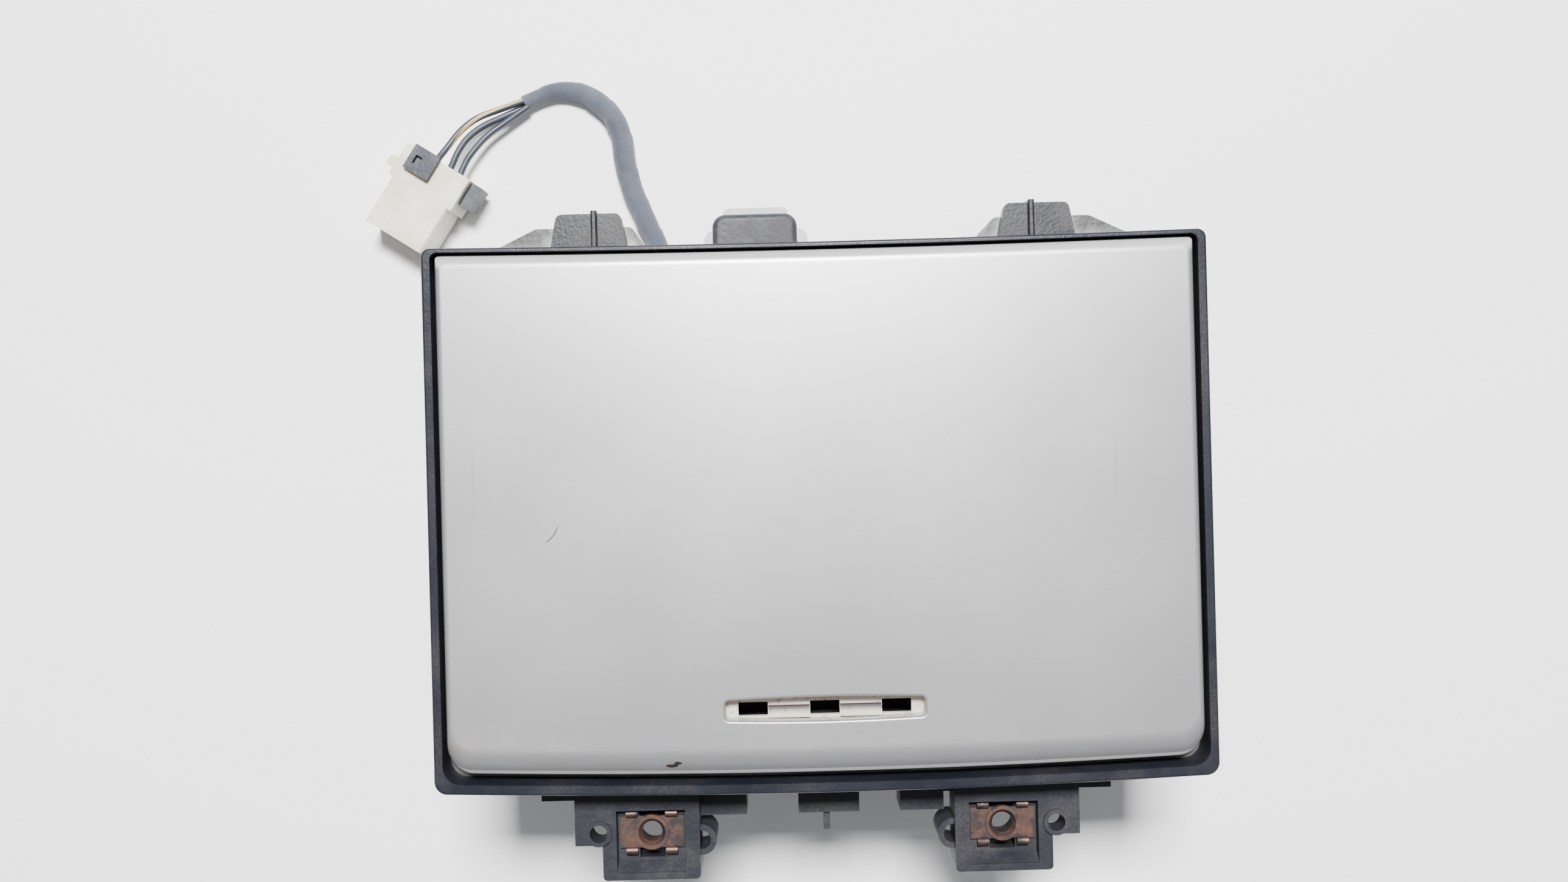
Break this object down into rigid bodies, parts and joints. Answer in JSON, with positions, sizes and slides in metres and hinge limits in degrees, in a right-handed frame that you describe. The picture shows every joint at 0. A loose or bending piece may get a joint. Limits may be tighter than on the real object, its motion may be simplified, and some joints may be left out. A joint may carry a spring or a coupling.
{
  "type": "dashboard ashtray and lighter compartment",
  "caption": "Flip-lid dashboard ashtray and 12 V lighter compartment with a silver lid, black bezel, locating tongues, fixing lugs and a taped pigtail plug.",
  "frame": {"origin": "middle of the housing, bezel, lugs and lamp together, on the plane of the rear cover (the free harness is left out)", "axes": "+Z out of the lid, +Y from the finger grip to the hinge, +X to the right seen from the front"},
  "size_m": [0.2086, 0.2041, 0.072],
  "materials": {
    "silver_paint": "satin silver paint on moulded plastic",
    "black_abs": "fine-grained black moulded plastic",
    "dusty_grey": "grey moulded plastic",
    "zinc_steel": "zinc plated",
    "liner_steel": "pressed sheet steel",
    "spring_steel": "oiled spring steel",
    "acetal": "natural acetal",
    "rubber": "soft black rubber",
    "chrome": "nickel-chrome plated",
    "socket_plastic": "heat-proof black plastic",
    "brass": "tinned brass",
    "knob_plastic": "polished black plastic",
    "element_ceramic": "fired ceramic with a wire spiral",
    "bulb_glass": "clear glass",
    "lens_green": "translucent tinted plastic",
    "copper_clip": "copper plated spring steel, tarnished",
    "lead_black": "extruded cable insulation",
    "lead_striped": "extruded cable insulation with a tracer stripe",
    "cloth_tape": "spiral-wound adhesive tape",
    "ivory_nylon": "natural nylon",
    "retainer_black": "black nylon"
  },
  "bodies": {
    "housing": {"bezel_frame": "black_abs", "housing_shell": "black_abs", "fixing_lugs": "black_abs", "rear_case": "black_abs", "inner_fascia": "black_abs", "lamp_hood": "black_abs", "rear_cover": "black_abs", "lamp_holder": "dusty_grey", "cover_screws": "zinc_steel", "fascia_screws": "zinc_steel", "damper_screw": "zinc_steel", "hinge_pins": "zinc_steel", "socket_clamp": "zinc_steel", "lighter_seat": "zinc_steel", "lid_spring": "spring_steel", "catch_spring": "spring_steel", "lighter_spring": "spring_steel", "damper_body": "acetal", "lid_bumpers": "rubber", "cable_grommet": "rubber", "socket_shell": "chrome", "socket_ring": "socket_plastic", "socket_insulator": "socket_plastic", "socket_contact": "brass", "plug_terminals": "brass", "lamp_bulb": "bulb_glass", "lamp_lens": "lens_green", "spring_nuts": "copper_clip", "socket_lead": "lead_black", "lamp_lead": "lead_black", "wire_dark": "lead_black", "wire_single": "lead_black", "wire_striped": "lead_striped", "harness_bundle": "cloth_tape", "plug_housing": "ivory_nylon", "plug_retainers": "retainer_black"},
    "lid": {"lid_skin": "silver_paint", "lid_inner_panel": "black_abs", "lid_screws": "zinc_steel", "sector_gear": "acetal", "striker": "zinc_steel"},
    "pinion": {"damper_pinion": "acetal"},
    "lighter": {"lighter_knob": "knob_plastic", "lighter_sleeve": "zinc_steel", "lighter_coil": "element_ceramic"},
    "bin": {"ash_bin": "black_abs", "ash_liner": "liner_steel", "snuffer_bar": "liner_steel"}
  },
  "joints": [
    {"name": "lid_hinge", "type": "hinge", "parent": "housing", "child": "lid", "pos_m": [0, 0.0625, 0.068], "axis": [-1, 0, 0], "range_deg": [0, 88], "deforming": ["lid_spring", "catch_spring"]},
    {"name": "pinion_spin", "type": "hinge", "parent": "housing", "child": "pinion", "pos_m": [0.0585, 0.05382, 0.05766], "axis": [-1, 0, 0], "range_deg": [-180, 0]},
    {"name": "lighter_press", "type": "slide", "parent": "housing", "child": "lighter", "axis": [0, 0, 1], "range_m": [-0.004, 0], "stiffness_N_per_m": 300, "deforming": ["lighter_spring"]},
    {"name": "bin_lift", "type": "slide", "parent": "housing", "child": "bin", "axis": [0, 0, 1], "range_m": [0, 0.0055]}
  ],
  "couplings": [
    {"joint": "pinion_spin", "follows": "lid_hinge", "ratio": -2}
  ]
}
